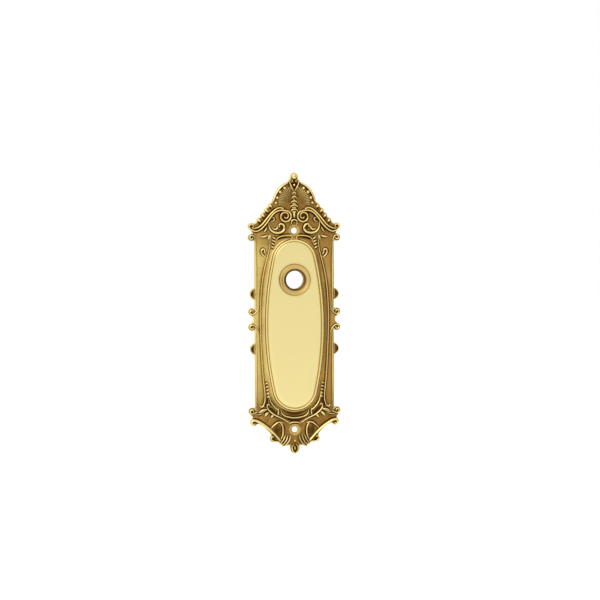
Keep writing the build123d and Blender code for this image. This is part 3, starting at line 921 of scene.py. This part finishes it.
def marked(tree, name):
    """The mark of this name on a face."""
    node = tree.nodes.new("ShaderNodeAttribute")
    node.attribute_name = name
    return node.outputs["Fac"]


def back_as_cast(tree, place, colour):
    """The dull back of the casting, over another colour."""
    dull = mixed(tree, span(tree, cloud(tree, place, 140.0, 5.0), 0.3, 0.7), CAST_PALE, CAST_DULL)
    return mixed(tree, marked(tree, "back"), colour, dull)


def towards_ends(tree, up, limits):
    """How far a point lies towards the plate's upper and lower ends, between heights in millimetres."""
    upper, lower = [span(tree, up, 0.001 * start, 0.001 * end) for start, end in limits]
    return worked(tree, "ADD", upper, lower)


def rubbing_and_side_light(tree, place, sideways):
    """How far the brass is polished clean by wear, in random clouds, plus a painted light that makes the left
    side lighter and the right side darker.
    """
    return worked(tree, "SUBTRACT", cloud(tree, place, 60.0, 5.0), worked(tree, "MULTIPLY", sideways, 9.0))


def patina(tree, place, split):
    """The colour by height: a brown field that is lighter on the left by painted light, bright ridges, dark
    patina with painted shade in the hollows, and a bright outer edge that is partly wear and partly a painted
    highlight.
    """
    sideways, out, up = split.outputs
    # Painted light: the sideways term makes the field lighter and more golden on the left and browner on the
    # right, over random clouds of wear.
    rubbed_and_side_lit = rubbing_and_side_light(tree, place, sideways)
    open_field = mixed(tree, span(tree, rubbed_and_side_lit, 0.3, 0.8), FIELD_BROWN, FIELD_GOLD)
    carved_field = mixed(tree, span(tree, rubbed_and_side_lit, 0.3, 0.9), CARVED_BROWN, CARVED_GOLD)
    grain = span(tree, cloud(tree, place, 420.0, 3.0), 0.4, 0.65, 0.0, 0.7)
    carved_field = mixed(tree, grain, carved_field, GRAIN_BROWN)
    field = mixed(tree, towards_ends(tree, up, CARVED_ENDS), open_field, carved_field)
    beyond_panel = towards_ends(tree, up, PANEL_ENDS)
    on_panel = worked(tree, "SUBTRACT", risen(tree, out, PANEL_STEP), beyond_panel)
    tops = mixed(tree, on_panel, RIDGE_GOLD, BRIGHT)
    colour = mixed(tree, risen(tree, out, RIDGE_FLANK), field, tops)
    # Dark patina and painted shade in the pockets and moats below the field.
    colour = mixed(tree, risen(tree, out, POCKET_SIDE), colour, POCKET_PATINA_AND_SHADE)
    # The outer edge painted bright: partly wear, partly a painted highlight.
    return mixed(tree, marked(tree, "edge"), colour, BRIGHT)


def holes_tinted(tree, place, colour):
    """The bright countersinks, the tan boss with painted shade round its foot, and the brown ring round its
    hole, over another colour.
    """
    for y in (SCREW_TOP, SCREW_BOTTOM):
        screw = from_axis(tree, place, y)
        colour = mixed(tree, within(tree, screw, SINK_RADIUS + 0.6, SINK_RADIUS), colour, SINK_GOLD)
    spindle = from_axis(tree, place, 0)
    # Painted shade round the boss's foot, where it meets the panel.
    foot = within(tree, spindle, BOSS_RADIUS + 0.5, BOSS_RADIUS + 0.1, 0.6)
    colour = mixed(tree, foot, colour, BORE_BROWN_AND_FOOT_SHADE)
    colour = mixed(tree, within(tree, spindle, BOSS_RADIUS, BOSS_RADIUS - 0.4), colour, BOSS_TAN)
    return mixed(tree, within(tree, spindle, BORE_MOUTH + 0.5, BORE_MOUTH), colour, BORE_BROWN_AND_FOOT_SHADE)


def recess_patina_and_shade(tree, place, split, colour):
    """Dark patina and painted shade in the corners of the carving, found by ambient occlusion, thinner where
    the brass is polished by wear and thinner on the left as painted light, over another colour.
    """
    sideways, out, up = split.outputs
    # Painted shade: ambient occlusion darkens corners, creases and the cove, taken together with dark patina
    # there.
    corner = tree.nodes.new("ShaderNodeAmbientOcclusion")
    corner.samples = 8
    corner.only_local = True
    corner.inputs["Distance"].default_value = 0.0028
    shade = span(tree, corner.outputs["AO"], 0.95, 0.5)
    mottle = span(tree, cloud(tree, place, 320.0, 4.0), 0.2, 0.7, 0.75, 1.0)
    low = risen(tree, out, RECESS_FADE, 0.95, 0.25)
    carved = towards_ends(tree, up, CARVED_ENDS)
    # Painted light: the shade is thinner on the left and heavier on the right; random clouds of wear thin it
    # too.
    worn_and_side_lit = span(tree, rubbing_and_side_light(tree, place, sideways), 0.3, 0.8, 1.0, 0.45)
    kept_patina_and_shade = worked(tree, "MAXIMUM", carved, worn_and_side_lit)
    for share in (mottle, low, kept_patina_and_shade):
        shade = worked(tree, "MULTIPLY", shade, share)
    return mixed(tree, shade, colour, mixed(tree, carved, OPEN_PATINA_AND_SHADE, CORNER_PATINA_AND_SHADE))


def brass():
    """Polished brass with a brown patina and painted shade low in the carving, bright tops polished by wear,
    and painted light that makes its left side lighter.
    """
    finish = bpy.data.materials.new("antique_brass")
    finish.use_nodes = True
    tree = finish.node_tree
    shader = tree.nodes["Principled BSDF"]
    shader.inputs["Metallic"].default_value = 1.0
    shader.inputs["Specular Tint"].default_value = (*EDGE_TINT, 1)
    place = tree.nodes.new("ShaderNodeTexCoord").outputs["Object"]
    split = tree.nodes.new("ShaderNodeSeparateXYZ")
    tree.links.new(place, split.inputs[0])
    out = split.outputs["Y"]
    colour = holes_tinted(tree, place, patina(tree, place, split))
    colour = recess_patina_and_shade(tree, place, split, colour)
    tree.links.new(back_as_cast(tree, place, colour), shader.inputs["Base Color"])

    polish = risen(tree, out, POLISH, 0.42, 0.22)
    duller_boss = risen(tree, out, BOSS_STEP, 0.0, 0.16)
    tree.links.new(worked(tree, "ADD", polish, duller_boss), shader.inputs["Roughness"])

    bump = tree.nodes.new("ShaderNodeBump")
    bump.inputs["Strength"].default_value = 0.08
    bump.inputs["Distance"].default_value = 0.0002
    tree.links.new(cloud(tree, place, 1800.0, 3.0), bump.inputs["Height"])
    tree.links.new(bump.outputs["Normal"], shader.inputs["Normal"])
    return finish


# Stage, light and camera

def white(tree, colour_socket, strength_socket, dim, full):
    """Gives a shader its full white light where it is seen or mirrored, and a dim one elsewhere."""
    seen = tree.nodes.new("ShaderNodeLightPath")
    first = tree.nodes.new("ShaderNodeMath")
    first.operation = "MAXIMUM"
    tree.links.new(seen.outputs["Is Camera Ray"], first.inputs[0])
    tree.links.new(seen.outputs["Is Glossy Ray"], first.inputs[1])
    second = tree.nodes.new("ShaderNodeMath")
    second.operation = "MAXIMUM"
    tree.links.new(first.outputs["Value"], second.inputs[0])
    tree.links.new(seen.outputs["Is Transmission Ray"], second.inputs[1])
    level = tree.nodes.new("ShaderNodeMapRange")
    level.inputs["To Min"].default_value = dim
    level.inputs["To Max"].default_value = full
    tree.links.new(second.outputs["Value"], level.inputs["Value"])
    tree.links.new(level.outputs["Result"], strength_socket)
    colour_socket.default_value = (1, 1, 1, 1)


def stage():
    """A pale floor well below the plate, and a white world."""
    shape = bmesh.new()
    bmesh.ops.create_grid(shape, x_segments=1, y_segments=1, size=FLOOR_HALF)
    bmesh.ops.translate(shape, vec=(0, 0, FLOOR_LEVEL), verts=shape.verts)
    floor = keep(shape, bpy.context.scene.collection)
    floor.name = "floor"
    pale = bpy.data.materials.new("pale_floor")
    pale.use_nodes = True
    coat = pale.node_tree.nodes["Principled BSDF"]
    coat.inputs["Base Color"].default_value = (0.92, 0.92, 0.92, 1)
    coat.inputs["Roughness"].default_value = 0.9
    white(pale.node_tree, coat.inputs["Emission Color"], coat.inputs["Emission Strength"], 0.0, FLOOR_GLOW)
    floor.data.materials.append(pale)
    world = bpy.data.worlds.new("studio")
    world.use_nodes = True
    sky = world.node_tree.nodes["Background"]
    white(world.node_tree, sky.inputs["Color"], sky.inputs["Strength"], SKY_DIM, 1.0)
    bpy.context.scene.world = world


def screen():
    """A dark screen to the right of the plate, which shows only in the brass and darkens the slopes there."""
    shape = bmesh.new()
    bmesh.ops.create_grid(shape, x_segments=1, y_segments=1, size=SCREEN_HALF)
    turned_up = Matrix.Translation(SCREEN_PLACE) @ Matrix.Rotation(radians(90), 4, "Y")
    bmesh.ops.transform(shape, matrix=turned_up, verts=shape.verts)
    board = keep(shape, bpy.context.scene.collection)
    board.name = "screen"
    dark = bpy.data.materials.new("dark_cloth")
    dark.use_nodes = True
    cloth = dark.node_tree.nodes["Principled BSDF"]
    cloth.inputs["Base Color"].default_value = (0.06, 0.05, 0.04, 1)
    cloth.inputs["Roughness"].default_value = 1.0
    board.data.materials.append(dark)
    board.visible_camera = False
    board.visible_diffuse = False
    board.visible_shadow = False


def lamp():
    """A soft lamp at the upper left that faces the plate."""
    light = bpy.data.lights.new("key", "AREA")
    light.size = KEY_SIZE
    light.energy = KEY_POWER
    holder = bpy.data.objects.new("key", light)
    holder.location = KEY_PLACE
    aim = Vector(KEY_AIM) - Vector(KEY_PLACE)
    holder.rotation_euler = aim.to_track_quat("-Z", "Y").to_euler()
    bpy.context.scene.collection.objects.link(holder)


def camera():
    """The camera, to the left of the plate and a little above it."""
    azimuth, elevation = radians(CAMERA_AZIMUTH), radians(CAMERA_ELEVATION)
    back = Vector((sin(azimuth) * cos(elevation), -cos(azimuth) * cos(elevation), sin(elevation)))
    right = Vector((cos(azimuth), sin(azimuth), 0))
    up = back.cross(right)
    aim = (right * AIM_RIGHT - up * AIM_DOWN) * 0.001
    lens = bpy.data.cameras.new("camera")
    lens.sensor_width = 36.0
    lens.lens = 36.0 * CAMERA_DISTANCE / PICTURE_WIDTH
    lens.clip_start = 0.05
    holder = bpy.data.objects.new("camera", lens)
    holder.location = aim + back * CAMERA_DISTANCE * 0.001
    facing = (-back).to_track_quat("-Z", "Y")
    holder.rotation_euler = (facing @ Euler((0, 0, radians(-CAMERA_ROLL))).to_quaternion()).to_euler()
    bpy.context.scene.collection.objects.link(holder)
    bpy.context.scene.camera = holder


casting = cast()
casting.data.materials.clear()
casting.data.materials.append(brass())
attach(casting, "root")
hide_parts("backplate")
stage()
screen()
lamp()
camera()
bpy.context.scene.view_settings.view_transform = "Standard"
